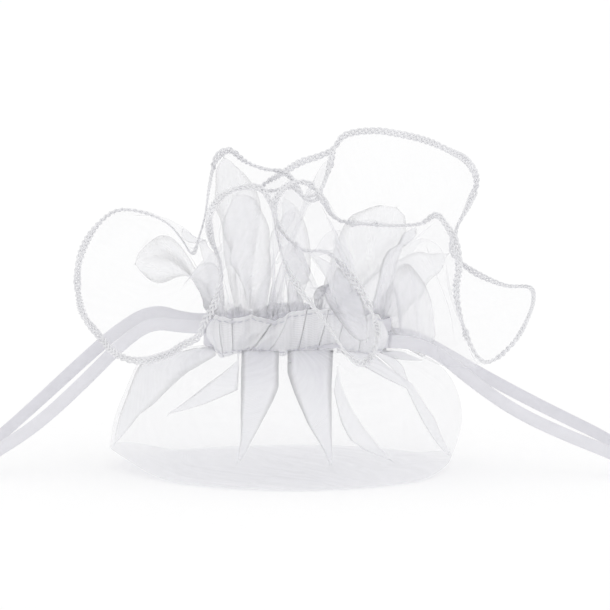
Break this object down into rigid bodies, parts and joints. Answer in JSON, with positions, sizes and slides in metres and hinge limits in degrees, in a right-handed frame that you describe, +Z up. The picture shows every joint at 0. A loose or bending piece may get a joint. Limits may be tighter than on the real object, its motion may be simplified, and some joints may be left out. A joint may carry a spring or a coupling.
{
  "type": "drawstring gift pouch",
  "caption": "Small sheer organza gift pouch cut from one round cloth, its neck gathered by a ribbon drawstring in a stitched casing, with a ruffled overlocked edge above it.",
  "frame": {"origin": "under the middle of the pouch's box, on the surface that it stands on", "axes": "+Z up, +X along the flattened neck towards the right outlet, -Y the front"},
  "size_m": [0.2312, 0.0783, 0.0771],
  "materials": {
    "organza": "sheer, faint sheen",
    "casing_organza": "sheer, gathered",
    "edge_thread": "silky overlock thread",
    "stitch_thread": "fine thread",
    "ribbon": "satin"
  },
  "bodies": {
    "pouch": {"organza_floor": "organza", "organza_wall": "organza", "organza_neck": "organza", "organza_ruffle": "organza", "merrow_edge": "edge_thread", "casing_front": "casing_organza", "stitches_front_upper": "stitch_thread", "stitches_front_lower": "stitch_thread", "casing_back": "casing_organza", "stitches_back_upper": "stitch_thread", "stitches_back_lower": "stitch_thread", "left_ribbon_bend": "ribbon", "right_ribbon_bend": "ribbon"},
    "left_drawstring": {"left_ribbon_inside_front": "ribbon", "left_ribbon_inside_back": "ribbon", "left_ribbon_tail_front": "ribbon", "left_ribbon_tail_back": "ribbon", "left_ribbon_coil": "ribbon", "left_ribbon_knot": "ribbon"},
    "right_drawstring": {"right_ribbon_inside_front": "ribbon", "right_ribbon_inside_back": "ribbon", "right_ribbon_tail_front": "ribbon", "right_ribbon_tail_back": "ribbon", "right_ribbon_coil": "ribbon", "right_ribbon_knot": "ribbon"}
  },
  "joints": [
    {"name": "left_drawstring_pull", "type": "slide", "parent": "pouch", "child": "left_drawstring", "axis": [-1, 0, 0], "range_m": [0, 0.017]},
    {"name": "right_drawstring_pull", "type": "slide", "parent": "pouch", "child": "right_drawstring", "axis": [1, 0, 0], "range_m": [0, 0.017]}
  ]
}
